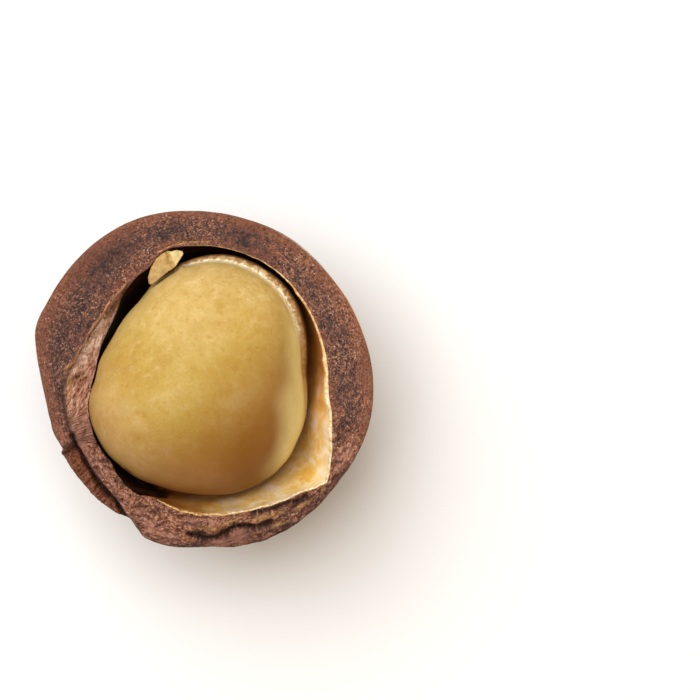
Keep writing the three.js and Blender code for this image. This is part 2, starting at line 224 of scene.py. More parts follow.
# Where painted highlights run along the rim's outer edge, pale and golden
PALE_HIGHLIGHT_SPAN, GOLD_HIGHLIGHT_SPAN = (45, 63, 6), (16, 42, 6)
# By what share of the rim its dark middle band moves inwards in the inner dark zone
INNER_DARK_SHIFT = 0.12
# The stalk scar and the germination point: distance from the middle towards the stalk, and below the rim
STALK_END, GERM_END = (12.9, 0.6), (-12.5, 0.3)
# The axis that the outside's fine lines run along, and the radius at which their spacing is measured
LINES_AXIS_Z, LINES_RADIUS = RIM_Z + 0.6, 12.0

# Columns of the shell's mesh as stretches (from, to, how many), closest where the rim is torn
SHELL_COLUMNS = [(-40, -16, 70), (-16, 136, 230), (136, 204, 190), (204, 320, 410)]
OUTSIDE_ROWS, RIM_ROWS, HOLLOW_ROWS = 24, 58, 18
KERNEL_COLUMNS, KERNEL_ROWS, CHIP_COLUMNS = 360, 216, 160
# How close together the kernel's rings lie at the seam, against an even spacing
SEAM_CLOSENESS = 0.4

# How far the kernel's upper leaf stands back from the seam, and how much wider the kernel is there
SEAM_DEPTH, SEAM_FLARE = 0.58, 0.1
# Where the kernel's section is squarer, and where its outline bulges: (by how much, angle, spread)
KERNEL_SHOULDERS = ((0.35, -8, 45), (0.22, 62, 45))
KERNEL_BULGE = (0.1, 195, 50)
# Where the seam is greyish, and where a pale line runs along it
SEAM_PALE_ZONE, SEAM_LINE_SPAN = (56, 27), (22, 113, 9)
# A band of painted light along the kernel's right side, as a low light from the right would make: where it
# is, its width, and where that narrows to what share of it
FLANK_LIGHT_SPAN, FLANK_LIGHT_WIDTH = (-50, 34, 12), 2.5
FLANK_LIGHT_NARROWINGS = ((-20, 4, 0.55), (12, 40, 0.9), (-15, -50, 0.55))
# A crumb on the kernel beside the chip: height, place in plan from the kernel's centre, half sizes
CRUMB_HEIGHT, CRUMB_PLACE, CRUMB_SIZE = 0.2, (-1.35, 8.3), (0.28, 0.3)
# A scrap of red-brown skin at the kernel's lower left edge
SCRAP_PLACE = (-5.6, -6.79, 11.9)
# How the kernel's colour and painted light change across it: name, direction, and how far that way it starts
# and is full
# The first is painted shade on the lower right, the second painted light towards +Y, the third the kernel's
# own pinker tone
KERNEL_TINTS = (("painted_shade_lower_right", -45, -1.0, 7.0), ("painted_light_upper", 95, 0.0, 8.0), ("rosy", 215, 2.0, 8.5))

# Rings of the chip: (share of its plan outline, side, from -1 for the underside to 1 for the top)
CHIP_RINGS = (
    (0.2, -1), (0.4, -1), (0.6, -1), (0.8, -1), (0.93, -1), (0.99, -0.5), (1, 0), (0.99, 0.5), (0.95, 1),
    (0.88, 1), (0.8, 1), (0.7, 1), (0.6, 1), (0.5, 1), (0.4, 1), (0.3, 1), (0.2, 1), (0.1, 1),
)
# The chip's crease: where it is on a line across the fold, its depth, and where the folded part begins
CHIP_CREASE_AT, CHIP_CREASE_DEPTH, CHIP_FOLDED = -2.35, 0.14, (-2.3, -2.05)


# Curves and noise

def cos_sin(degrees):
    return np.cos(np.radians(degrees)), np.sin(np.radians(degrees))


def ease(low, high, value):
    """A smooth climb from 0 at the low value to 1 at the high one."""
    t = np.clip((value - low) / (high - low), 0, 1)
    return t * t * (3 - 2 * t)


def bell(offset, spread):
    """1 without an offset, falling off smoothly over the spread."""
    return np.exp(-((offset / spread) ** 2))


def bell_round(turn, way, spread):
    """The same for an angle's offset from another one, in degrees."""
    return bell(np.mod(turn - way + 180, 360) - 180, spread)


def mix(a, b, share):
    return a + (b - a) * share


def within(angle, span):
    """1 between two angles, fading to 0 over a few degrees on either side of each."""
    low, high, fade = span
    return ease(low - fade, low + fade, angle) * (1 - ease(high - fade, high + fade, angle))


def through(points):
    """A smooth curve through points (place, value), flat beyond its ends."""
    x, y = np.array(points, float).T
    before = np.maximum(np.arange(len(x)) - 1, 0)
    after = np.minimum(np.arange(len(x)) + 1, len(x) - 1)
    slope = (y[after] - y[before]) / (x[after] - x[before])

    def curve(place):
        place = np.clip(place, x[0], x[-1])
        i = np.clip(np.searchsorted(x, place, side="right") - 1, 0, len(x) - 2)
        t = (place - x[i]) / (x[i + 1] - x[i])
        level = y[i] * (1 + 2 * t) * (1 - t) ** 2 + y[i + 1] * t * t * (3 - 2 * t)
        return level + (x[i + 1] - x[i]) * (slope[i] * t * (1 - t) ** 2 - slope[i + 1] * t * t * (1 - t))

    return curve


def around(points):
    """The same through points (angle, radius) of a closed outline."""
    last = [(angle - 360, radius) for angle, radius in points[-2:]]
    first = [(angle + 360, radius) for angle, radius in points[:2]]
    curve = through([*last, *points, *first])
    return lambda angle: curve(np.mod(angle, 360))


def cell_value(x, y, z, seed):
    """A repeatable number from 0 to 1 for each whole-number cell."""
    n = x * 73856093 ^ y * 19349663 ^ z * 83492791 ^ seed * 60493
    n = ((n ^ (n >> 13)) * 1274126177) & 0x7FFFFFFF
    n = ((n ^ (n >> 15)) * 668265263) & 0x7FFFFFFF
    return ((n >> 7) & 0xFFFF) / 65535.0


def lumps(x, y, z, size, seed, octaves=1):
    """Smooth uneven relief from -1 to 1, with lumps of about the given size."""
    total, weight = 0.0, 0.0
    for octave in range(octaves):
        turn = 0.7 + octave
        scale = 2.0**octave / size
        u = (x * math.cos(turn) - y * math.sin(turn)) * scale + octave * 5.3
        v = (x * math.sin(turn) + y * math.cos(turn)) * scale
        w = z * scale + 3.1 * octave
        corner = [np.floor(c).astype(np.int64) for c in (u, v, w)]
        t = [c - f for c, f in zip((u, v, w), corner)]
        t = [c * c * c * (c * (c * 6 - 15) + 10) for c in t]
        value = 0.0
        for step in range(8):
            d = (step & 1, step >> 1 & 1, step >> 2 & 1)
            share = np.prod([t[k] if d[k] else 1 - t[k] for k in range(3)], axis=0)
            value = value + share * cell_value(*[corner[k] + d[k] for k in range(3)], seed + octave)
        total = total + (value * 2 - 1) * 0.5**octave
        weight += 0.5**octave
    return total / weight


def distance_to_path(x, y, path):
    nearest = np.full(np.shape(x), np.inf)
    for (ax, ay), (bx, by) in zip(path, path[1:]):
        length2 = (bx - ax) ** 2 + (by - ay) ** 2
        t = np.clip(((x - ax) * (bx - ax) + (y - ay) * (by - ay)) / length2, 0, 1)
        nearest = np.minimum(nearest, np.hypot(x - ax - (bx - ax) * t, y - ay - (by - ay) * t))
    return nearest


def patches(x, y, places):
    """How much a point lies in any of some oval patches, from 0 to 1."""
    most = np.zeros(np.shape(x))
    for px, py, half_length, half_width, turn in places:
        c, s = cos_sin(turn)
        u = (x - px) * c + (y - py) * s
        v = -(x - px) * s + (y - py) * c
        most = np.maximum(most, np.exp(-((u / half_length) ** 2 + (v / half_width) ** 2)))
    return most


shell_radius = around(SHELL_OUTLINE)
widest_radius = around(HOLLOW_OUTLINE)
kernel_radius = around(KERNEL_OUTLINE)
mouth_radius = through(MOUTH_OUTLINE)
lip_width = through(LIP_WIDTH)
bevel_line = through(BEVEL_LINE)
ledge_line = through(LEDGE_LINE)
lower_line = through(LOWER_LINE)


def wave_grain(x, y):
    """The broad waves of the rim, as in the source solid."""
    total = 0.0
    for i in range(6):
        turn = i * math.pi * (3 - math.sqrt(5))
        frequency = 2 * math.pi / GRAIN_WAVE * (0.6 + 0.2 * i)
        total = total + np.sin(frequency * (x * math.cos(turn) + y * math.sin(turn)) + i * i)
    return total / math.sqrt(12)


# Meshes

OUTSIDE, RIM, INSIDE = 0, 1, 2


def placed(name, data):
    """A new object in the scene."""
    item = bpy.data.objects.new(name, data)
    bpy.context.collection.objects.link(item)
    return item


def ring_mesh(name, rings, first_pole, last_pole):
    """A closed smooth mesh from rings of points in mm, kept inside the box of the CAD solids."""
    rings = np.array(rings, float)
    count, columns = rings.shape[:2]
    points = np.vstack([[first_pole], rings.reshape(-1, 3), [last_pole]]) * MM
    points = np.clip(points, np.array(cad_low), np.array(cad_high))
    column = np.arange(columns)
    after = (column + 1) % columns
    start = 1 + np.arange(count - 1)[:, None] * columns
    quads = (start + column, start + after, start + columns + after, start + columns + column)
    last = 1 + (count - 1) * columns
    top = len(points) - 1
    faces = np.stack(quads, axis=-1).reshape(-1, 4).tolist()
    faces += [(0, 1 + int(b), 1 + int(a)) for a, b in zip(column, after)]
    faces += [(top, last + int(a), last + int(b)) for a, b in zip(column, after)]
    mesh = bpy.data.meshes.new(name)
    mesh.from_pydata(points.tolist(), [], faces)
    mesh.polygons.foreach_set("use_smooth", np.ones(len(mesh.polygons), bool))
    mesh.update()
    return placed(name, mesh)


def store(piece, name, rows, first=0.0, last=0.0):
    """Stores a number at each point: the values of the rings, and those of the two end points."""
    values = np.concatenate([[first], np.array(rows, float).ravel(), [last]])
    data = piece.data.attributes.new(name, "FLOAT", "POINT").data
    data.foreach_set("value", values.astype(np.float32))


def evened(values, spread):
    """Values round a ring, smoothed over some columns on either side."""
    offsets = np.arange(-2 * spread, 2 * spread + 1)
    weights = bell(offsets, spread)
    return sum(weight * np.roll(values, offset) for weight, offset in zip(weights, offsets)) / weights.sum()


def broken_share(turn):
    """Where the rim is broken rather than sawn, by the angle alone."""
    return np.maximum(within(turn, ROUGH_SPANS[0]), within(turn, ROUGH_SPANS[1]))


def torn_share(turn, share):
    """Where the rim is torn: right across in the broken spans, but only on the bevel up to the notch."""
    still_sawn = within(turn, STILL_SAWN_SPAN) * ease(-0.03, 0.06, share - bevel_line(turn))
    return broken_share(turn) * (1 - still_sawn)


def flow_at(turn, x, y, height=0.0, bevel=0.0, ledge=0.0):
    """A place in the shell's wall by its fibres, whose own direction is that of the first two values.

    They run round the nut, but straight along the bevel and outwards on the ledge.
    """
    arc = np.radians(turn) * WALL_RADIUS
    out = np.hypot(x, y) - 0.5 * height
    way_x, way_y = BEVEL_WAY
    round_nut = (*[part * WALL_RADIUS for part in cos_sin(turn)], out)
    straight = (x * way_x + y * way_y, 0, x * way_y - y * way_x + 0.3 * height)
    outwards = (out, 0, arc)
    return [
        a * (1 - bevel) * (1 - ledge) + b * bevel + c * ledge
        for a, b, c in zip(round_nut, straight, outwards)
    ]


def wavering_distance(x, y, path, waver, size, seed, level, octaves):
    """Distance in plan from a path whose course wavers by the given length."""
    moved_x = x + waver * lumps(x, y, x * 0, size, seed, octaves)
    moved_y = y + waver * lumps(x, y, x * 0 + level, size, seed + 1, octaves)
    return distance_to_path(moved_x, moved_y, path)


def groove(x, y, path, half_width):
    """How deep a point lies in a crevice, from 0 to 1: a torn one, of uneven width and course."""
    away = wavering_distance(x, y, path, 0.15, 0.8, 5, 7, 2)
    return bell(away, half_width * (0.72 + 0.4 * lumps(x, y, x * 0 + 3, 0.9, 8, 2)))


def streak_at(x, y, path, width):
    """How much a point lies on a streak, from 0 to 1: one of uneven width and course."""
    away = wavering_distance(x, y, path, 0.1, 0.6, 45, 5, 3)
    return bell(away, width * (0.85 + 0.5 * lumps(x, y, x * 0 + 2, 0.8, 47, 2)))


def rim_height(turn, share, x, y):
    """Height of the rim: the source solid's breaks and crevices, with fine fibres and grit on top."""

    def step(line, lip):
        return ease(line - lip, line + lip, share)

    arc = flow_at(turn, x, y)
    wander = 0.05 * lumps(arc[0], arc[1], x * 0, 0.7, 11, 3)
    bevel = BEVEL_DROP * within(turn, BEVEL_SPAN) * (1 - ease(0, bevel_line(turn), share + wander))
    ledge = LEDGE_DROP * within(turn, LEDGE_SPAN) * step(ledge_line(turn) + wander, LEDGE_LIP)
    lower = LOWER_DROP * within(turn, LOWER_SPAN) * step(lower_line(turn) + wander, LOWER_LIP)
    germ = GERM_DROP * within(np.where(turn > 180, turn - 360, turn), GERM_SPAN)
    rough = broken_share(turn)
    edge = RIM_ROUND * ease(1 - RIM_ROUND_SHARE, 1, share) ** 2
    height = RIM_Z - bevel - ledge - lower - germ - edge
    height = height + mix(SAWN_GRAIN, BROKEN_GRAIN, rough) * wave_grain(x, y)
    for path, half_width, depth in CREVICES + CREASES:
        height = height - depth * groove(x, y, path, half_width)

    on_bevel = within(turn, BEVEL_SPAN) * (1 - step(bevel_line(turn), 0.08))
    on_ledge = within(turn, LEDGE_SPAN) * step(ledge_line(turn), 0.04)
    torn = np.maximum(torn_share(turn, share), on_bevel) * (1 - 0.85 * patches(x, y, PATCHES["plain"]))
    arc = flow_at(turn, x, y, height, on_bevel, on_ledge)
    fibres = 1 - np.abs(lumps(arc[0] / 2.6, arc[1] / 2.6, arc[2], 0.25, 21, 3))
    knots = lumps(x, y, height * 0.6, 0.62, 31, 3)
    splinters = lumps(x, y, height, 0.24, 33, 2)
    height = height + STREAK_HEIGHT * streak_at(x, y, *STREAK_PATHS[0])
    sawn_relief = SAWN_DEPTH * lumps(x, y, x * 0, 0.3, 41, 2)
    torn_relief = FIBRE_DEPTH * (fibres - 0.82) + KNOT_DEPTH * (knots - 0.25) + SPLINTER_DEPTH * splinters
    return height + torn * torn_relief + (1 - torn) * sawn_relief


def make_shell():
    """The half shell, in rings from the rest spot up the outside, over the rim and down into the hollow."""
    stretches = [np.linspace(low, high, count, endpoint=False) for low, high, count in SHELL_COLUMNS]
    turn = np.concatenate(stretches)
    columns = len(turn)
    cos, sin = cos_sin(turn)
    circle = (cos * WALL_RADIUS, sin * WALL_RADIUS)
    rough = broken_share(turn)
    rough_edge = rough * (1 - within(turn, STILL_SAWN_SPAN))
    outer = shell_radius(turn) + (0.012 + 0.06 * rough_edge) * lumps(*circle, cos * 0, 0.8, 51, 4)
    for out, way, spread in NOTCH_BUMPS:
        outer = outer + out * bell(turn - way, spread)
    outer = outer + SWELL_HEIGHT * within(turn, SWELL_SPAN)
    smooth_mouth = mouth_radius(turn) - MOUTH_INSET * within(turn, MOUTH_INSET_SPAN)
    mouth = smooth_mouth + (0.03 + 0.07 * rough) * lumps(*circle, cos * 0 + 9, 0.6, 61, 4)
    lip = np.maximum(lip_width(turn) * (1 + 0.45 * lumps(*circle, cos * 0 + 4, 0.7, 71, 2)), 0.0)
    rings, zone, share_of, depth_of = [], [], [], []

    def add_ring(radius, z, kind, share, depth=0.0, shift=0.0):
        x = radius * cos + REST_SPOT_CENTRE[0] * shift
        y = radius * sin + REST_SPOT_CENTRE[1] * shift
        rings.append(np.stack(np.broadcast_arrays(x, y, z), axis=-1))
        zone.append(np.full(columns, float(kind)))
        share_of.append(np.full(columns, float(share)))
        depth_of.append(np.broadcast_to(depth, columns).astype(float))

    spot = math.asin(REST_SPOT_RADIUS / LOWER_SHELL_RADIUS)
    half_height = BELLY_Z / math.cos(spot)
    edge_z = rim_height(turn, 1.0, outer * cos, outer * sin)
    top = np.arccos((BELLY_Z - edge_z) / half_height)
    for k in range(OUTSIDE_ROWS + 1):
        climb = mix(spot, top, k / OUTSIDE_ROWS)
        radius = mix(LOWER_SHELL_RADIUS, outer, np.sin(climb) ** 2) * np.sin(climb)
        z = BELLY_Z - half_height * np.cos(climb) if k else 0.0
        bulge = 0.035 * lumps(radius * cos, radius * sin, z + cos * 0, 3.4, 81, 2) * ease(0, 4, k)
        add_ring(radius + bulge, z, OUTSIDE, 1, shift=np.cos(climb) ** 2)

    for k in range(1, RIM_ROWS + 1):
        t = k / RIM_ROWS
        share = 1 - t + 0.5 * math.sin(2 * math.pi * t) / (2 * math.pi)
        radius = mix(mouth, outer, share)
        add_ring(radius, rim_height(turn, share, radius * cos, radius * sin), RIM, share)

    mouth_z = rings[-1][:, 2]
    width = np.maximum(lip, 0.04)
    for inset, rise in LIP_PROFILE:
        z = mouth_z + rise * np.minimum(lip, LIP_FULL) - 0.015 * inset
        add_ring(mouth - width * inset, z, INSIDE, 0, 0.05)
    even_z = evened(mouth_z, 24)
    for k in range(1, HOLLOW_ROWS):
        angle = math.pi / 2 * (k / HOLLOW_ROWS) ** 1.35
        depth = (even_z - FLOOR_Z) * math.sin(angle) ** (2 / HOLLOW_SQUARENESS)
        z = mix(mouth_z, even_z, ease(0, 0.8, depth)) - depth
        to_germ = np.minimum(turn - GERM_ANGLE, GERM_ANGLE + 360 - turn)
        fade = mix(MOUTH_FADE_DEPTH, GERM_PIT_DEPTH, bell(to_germ, GERM_PIT_SPREAD))
        wall = mix(mouth, smooth_mouth, ease(0, 0.6, depth))
        narrowed = math.cos(angle) ** (2 / HOLLOW_SQUARENESS)
        radius = mix(widest_radius(turn), wall, bell(depth, fade)) * narrowed
        radius = np.minimum(radius, wall - width * ease(0, 0.1, lip))
        for lean, under, way, spread in LINING_LEANS:
            radius = radius - lean * ease(0, under, depth) * bell_round(turn, way, spread)
        radius = radius + 0.03 * lumps(radius * cos, radius * sin, z, 1.6, 91, 2)
        add_ring(radius, z, INSIDE, 0, depth)

    piece = ring_mesh("half_shell_fine", rings, (*REST_SPOT_CENTRE, 0), (0, 0, FLOOR_Z))
    x, y, z = np.moveaxis(np.array(rings), -1, 0)
    turns, lips = np.broadcast_to(turn, x.shape), np.broadcast_to(lip, x.shape)
    inside, outside = np.array(zone) == INSIDE, np.array(zone) == OUTSIDE
    shares, depths = np.array(share_of), np.array(depth_of)
    grooves = [
        groove(x, y, path, width * 1.1) * min(1, 0.5 + depth) for path, width, depth in CREVICES + CREASES
    ]
    streaks = [streak_at(x, y, path, width) for path, width in STREAK_PATHS]
    bevel = within(turns, BEVEL_SPAN) * (1 - ease(-0.05, 0.05, shares - bevel_line(turns)))
    ledge = within(turns, LEDGE_SPAN) * ease(-0.03, 0.05, shares - ledge_line(turns))
    (ax, ay), (bx, by) = LINING_LINE
    side = ((x - ax) * (by - ay) - (y - ay) * (bx - ax)) / math.hypot(bx - ax, by - ay)
    quiet_outer = bell(turns - QUIET_OUTER_ZONE[0], QUIET_OUTER_ZONE[1]) * ease(0.25, 0.6, shares)
    quiet_top = 0.8 * bell(turns - QUIET_TOP_ZONE[0], QUIET_TOP_ZONE[1])
    attributes = dict(
        inside=inside,
        outside=outside,
        across=shares,
        depth=depths,
        lip=inside * (depths < 0.1) * ease(0.02, 0.06, lips),
        broken=np.maximum(torn_share(turns, shares), bevel),
        bevel=bevel,
        ledge=ledge,
        # how deep in a crevice or crease, where painted shade goes
        crevice=np.max(grooves, axis=0),
        streak=np.max(streaks, axis=0),
        lit_side=-side,
        # painted shade on the lining's right
        shade=bell_round(turns, *SHADE_ZONE),
        quiet=np.maximum(quiet_outer, quiet_top),
        # painted highlights along the outer edge
        pale_edge_highlight=within(turns, PALE_HIGHLIGHT_SPAN) * ease(0.94, 1, shares),
        gold_edge_highlight=within(turns, GOLD_HIGHLIGHT_SPAN) * ease(0.93, 1, shares),
        inner_dark=INNER_DARK_SHIFT * bell_round(turns, *INNER_DARK_ZONE),
    )
    for name, values in attributes.items():
        store(piece, name, values, last=float(name == "inside"))
    for name, places in PATCHES.items():
        store(piece, name, patches(x, y, places))
    flow = np.stack(flow_at(turns, x, y, z, bevel, ledge), axis=-1).reshape(-1, 3)
    flow = np.pad(flow, ((1, 1), (0, 0)))
    data = piece.data.attributes.new("flow", "FLOAT_VECTOR", "POINT").data
    data.foreach_set("vector", flow.astype(np.float32).ravel())
    return piece


def make_kernel():
    """The kernel, in rings that follow the seam and lie closest together there."""
    cx, cy, cz = KERNEL_CENTRE
    angle = 360 * np.arange(KERNEL_COLUMNS) / KERNEL_COLUMNS
    cos, sin = cos_sin(angle)
    facing = np.cos(np.radians(angle - SEAM_ANGLE))
    around_side = np.mod(angle + 180, 360) - 180
    power = KERNEL_SQUARENESS
    for extra, way, spread in KERNEL_SHOULDERS:
        power = power + extra * bell(around_side - way, spread)
    on_flank_light = within(around_side, FLANK_LIGHT_SPAN)
    flank_light_width = FLANK_LIGHT_WIDTH
    for start, end, share in FLANK_LIGHT_NARROWINGS:
        flank_light_width = flank_light_width * mix(1, share, ease(start, end, around_side))
    seam_share = np.maximum(0, facing) * ease(-35, 25, around_side)
    outline = kernel_radius(angle) * (1 + 0.005 * lumps(cos * 9, sin * 9, angle * 0, 1.6, 37, 2))
    bulge, bulge_at, bulge_spread = KERNEL_BULGE
    outline = outline + bulge * bell(angle - bulge_at, bulge_spread)
    outline = outline + SEAM_FLARE * bell(around_side - SEAM_ANGLE, 25)
    seam_height = SEAM_RISE * facing
    seam_reach = outline * (1 - (np.abs(seam_height) / KERNEL_HALF_HEIGHT) ** power) ** (1 / power)
    seam_climb = np.arctan2(seam_height, seam_reach)
    rings, seam_of, shelf_of, flank_light_of, places = [], [], [], [], []
    for k in range(1, KERNEL_ROWS):
        away = 2 * k / KERNEL_ROWS - 1
        away = away * mix(SEAM_CLOSENESS, 1, abs(away))
        climb = seam_climb + away * (math.pi / 2 - math.copysign(1, away) * seam_climb)
        level_part = (np.cos(climb) / outline) ** power
        upright_part = (np.abs(np.sin(climb)) / KERNEL_HALF_HEIGHT) ** power
        reach = (level_part + upright_part) ** (-1 / power)
        height, level = reach * np.sin(climb), np.cos(climb)
        x, y = reach * level * cos, reach * level * sin
        over = height - seam_height + 0.04 * lumps(x, y, height, 0.8, 7, 2)
        shelf = ease(-0.02, 0.2, over)
        step = seam_share * (SEAM_DEPTH * shelf + 0.05 * bell(over + 0.06, 0.07)) * level
        swell = 0.04 * lumps(x, y, height, 2.6, 17, 2) + 0.006 * lumps(x, y, height, 0.5, 27, 2)
        crumb_x, crumb_y = (x - CRUMB_PLACE[0]) / CRUMB_SIZE[0], (y - CRUMB_PLACE[1]) / CRUMB_SIZE[1]
        crumb = CRUMB_HEIGHT * np.exp(-(crumb_x ** 2 + crumb_y ** 2)) * ease(0.5, 1.5, height)
        across = reach * level - step + swell * level + crumb
        z = cz + height + (swell - 0.05) * np.sin(climb)
        rings.append(np.stack([cx + across * cos, cy + across * sin, z], axis=-1))
        seam_of.append(over)
        shelf_of.append(shelf)
        # where the band of painted light on the right side lies
        inset = (outline - step - across) / flank_light_width
        flank_light_of.append(on_flank_light * (1 - ease(0, 1.15, inset)) * ease(-0.6, 0.3, over))
        places.append((x, y))
    piece = ring_mesh("kernel_fine", rings, rings[0].mean(axis=0), rings[-1].mean(axis=0))
    store(piece, "seam", seam_of, -9, 9)
    store(piece, "shelf", shelf_of, 0, 1)
    for name, values in (
        ("seam_side", seam_share),
        ("seam_pale", bell(angle - SEAM_PALE_ZONE[0], SEAM_PALE_ZONE[1])),
        ("seam_line", within(angle, SEAM_LINE_SPAN)),
    ):
        store(piece, name, [values] * (KERNEL_ROWS - 1))
    store(piece, "flank_light", flank_light_of)
    for name, way, start, full in KERNEL_TINTS:
        c, s = cos_sin(way)
        values = [ease(start, full, x * c + y * s) for x, y in places]
        middle = ease(start, full, 0.0)
        store(piece, name, values, middle, middle)
    # painted shade: the kernel darker towards its lower edge in plan
    painted_bottom_shade = [
        ease(3.5, 8.0, -y) * ease(-5.5, -2, x) * (1 - ease(0.5, 4, x)) for x, y in places
    ]
    store(piece, "painted_bottom_shade", painted_bottom_shade)
    return piece


def make_chip():
    """The chip, in rings from its underside over its edge to its top."""
    cx, cy = np.array(CHIP_OUTLINE).mean(axis=0)
    polar = sorted(
        (math.degrees(math.atan2(y - cy, x - cx)) % 360, math.hypot(x - cx, y - cy)) for x, y in CHIP_OUTLINE
    )
    reach = around(polar)
    angle = 360 * np.arange(CHIP_COLUMNS) / CHIP_COLUMNS
    cos, sin = cos_sin(angle)
    edge = reach(angle) + 0.06 * lumps(cos * 1.2, sin * 1.2, angle * 0, 0.35, 3, 3)
    edge = edge + 0.09 * within(angle, (75, 165, 12))
    half = CHIP_THICKNESS / 2
    rings, folded_of = [], []
    for scale, lift in CHIP_RINGS:
        x, y = cx + edge * scale * cos, cy + edge * scale * sin
        along = x + 0.45 * (y - 8.6) + 0.08 * lumps(x, y, x * 0, 0.6, 19, 2)
        z = CHIP_MIDDLE_Z + CHIP_SLOPE * (math.hypot(cx, cy) - np.hypot(x, y))
        z = z + CHIP_FOLD * ease(CHIP_FOLD_AT, CHIP_FOLD_AT + 0.9, x)
        z = z + half * lift + 0.06 * lift * lumps(x, y, x * 0 + lift, 0.45, 13, 3) - 0.03 * lift
        z = z - CHIP_CREASE_DEPTH * (lift > 0.9) * bell(along - CHIP_CREASE_AT, 0.13)
        rings.append(np.stack([x, y, z], axis=-1))
        folded_of.append(ease(*CHIP_FOLDED, along))
    piece = ring_mesh("kernel_chip_fine", rings, rings[0].mean(axis=0), rings[-1].mean(axis=0))
    store(piece, "folded", folded_of)
    return piece


# Materials

def linear(code):
    """A colour written as hex, as the shader needs it."""
    values = [int(code[i:i + 2], 16) / 255 for i in (1, 3, 5)]
    return (*[v / 12.92 if v <= 0.04045 else ((v + 0.055) / 1.055) ** 2.4 for v in values], 1)


class Surface:
    """Builds one material's nodes. Sizes are in mm."""

    def __init__(self, name):
        self.material = bpy.data.materials.new(name)
        self.material.use_nodes = True
        self.tree = self.material.node_tree
        self.shader = self.tree.nodes["Principled BSDF"]
        place = self.tree.nodes.new("ShaderNodeTexCoord").outputs["Object"]
        self.mm = self.scaled(place, (1000, 1000, 1000))

    def feed(self, socket, value):
        """Links another node's output to a socket, or sets the socket's own value."""
        if isinstance(value, bpy.types.NodeSocket):
            self.tree.links.new(value, socket)
        else:
            socket.default_value = value

    def node(self, kind, inputs, **settings):
        node = self.tree.nodes.new("ShaderNode" + kind)
        for key, value in settings.items():
            setattr(node, key, value)
        for key, value in inputs.items():
            self.feed(node.inputs[key], value)
        return node

    def scaled(self, vector, scale):
        return self.node("Mapping", {"Vector": vector, "Scale": scale}).outputs[0]

    def attribute(self, name, vector=False):
        node = self.node("Attribute", {}, attribute_name=name)
        return node.outputs["Vector" if vector else "Fac"]

    def noise(self, size, detail=2.0, roughness=0.5, distortion=0.0, place=None, stretch=(1, 1, 1)):
        place = self.scaled(place or self.mm, tuple(1 / (size * s) for s in stretch))
        inputs = {"Vector": place, "Scale": 1.0, "Detail": detail}
        inputs.update(Roughness=roughness, Distortion=distortion)
        return self.node("TexNoise", inputs).outputs["Fac"]

    def ramp(self, value, *stops):
        node = self.node("ValToRGB", {"Fac": value})
        elements = node.color_ramp.elements
        elements[0].position, elements[0].color = stops[0][0], linear(stops[0][1])
        elements[1].position, elements[1].color = stops[-1][0], linear(stops[-1][1])
        for place, colour in stops[1:-1]:
            elements.new(place).color = linear(colour)
        return node.outputs["Color"]

    def mix(self, share, a, b):
        node = self.node("Mix", {}, data_type="RGBA", clamp_factor=True)
        for key, value in ((0, share), (6, a), (7, b)):
            self.feed(node.inputs[key], linear(value) if isinstance(value, str) else value)
        return node.outputs[2]

    def layered(self, colour, *layers):
        """A colour with layers over it: each a colour, its share or what band() makes that of, and perhaps
        an attribute that limits it."""
        for paint, share, *names in layers:
            share = self.band(*share) if isinstance(share, tuple) else share
            colour = self.mix(self.times(*map(self.attribute, names), share), colour, paint)
        return colour

    def math(self, operation, a, b=0.0, clamp=False):
        return self.node("Math", {0: a, 1: b}, operation=operation, use_clamp=clamp).outputs[0]

    def times(self, *values):
        product = values[0]
        for value in values[1:]:
            product = self.math("MULTIPLY", product, value)
        return product

    def band(self, value, low, high, to_low=0.0, to_high=1.0):
        inputs = {"Value": value, "From Min": low, "From Max": high, "To Min": to_low, "To Max": to_high}
        return self.node("MapRange", inputs, interpolation_type="SMOOTHSTEP").outputs["Result"]

    def reach(self, way):
        """How far a place lies along a direction, in mm."""
        inputs = {0: self.mm, 1: way}
        return self.node("VectorMath", inputs, operation="DOT_PRODUCT").outputs["Value"]

    def near(self, point, inner, outer):
        """1 close to a point in mm, 0 away from it."""
        inputs = {0: self.mm, 1: point}
        distance = self.node("VectorMath", inputs, operation="DISTANCE").outputs["Value"]
        return self.band(distance, inner, outer, 1.0, 0.0)

    def scattered(self, size, place, stretch, channel, fades, chosen):
        """1 on scattered dots. They fade out over a band of distance, and cells over a band have one."""
        place = self.scaled(place, tuple(1 / (size * s) for s in stretch))
        cell = self.node("TexVoronoi", {"Vector": place, "Scale": 1.0}).outputs
        number = self.node("SeparateColor", {"Color": cell["Color"]}).outputs[channel]
        return self.times(self.band(cell["Distance"], *fades, 1.0, 0.0), self.band(number, *chosen))

    def finish(self, colour, roughness, height, depth, **others):
        """Sets the shader: height from 0 to 1 is a relief of the given depth in mm."""
        bump = self.node("Bump", {"Height": height, "Distance": depth * MM, "Strength": 1.0})
        others.update(Normal=bump.outputs["Normal"], Base_Color=colour, Roughness=roughness)
        for key, value in others.items():
            self.feed(self.shader.inputs[key.replace("_", " ")], value)
        return self.material


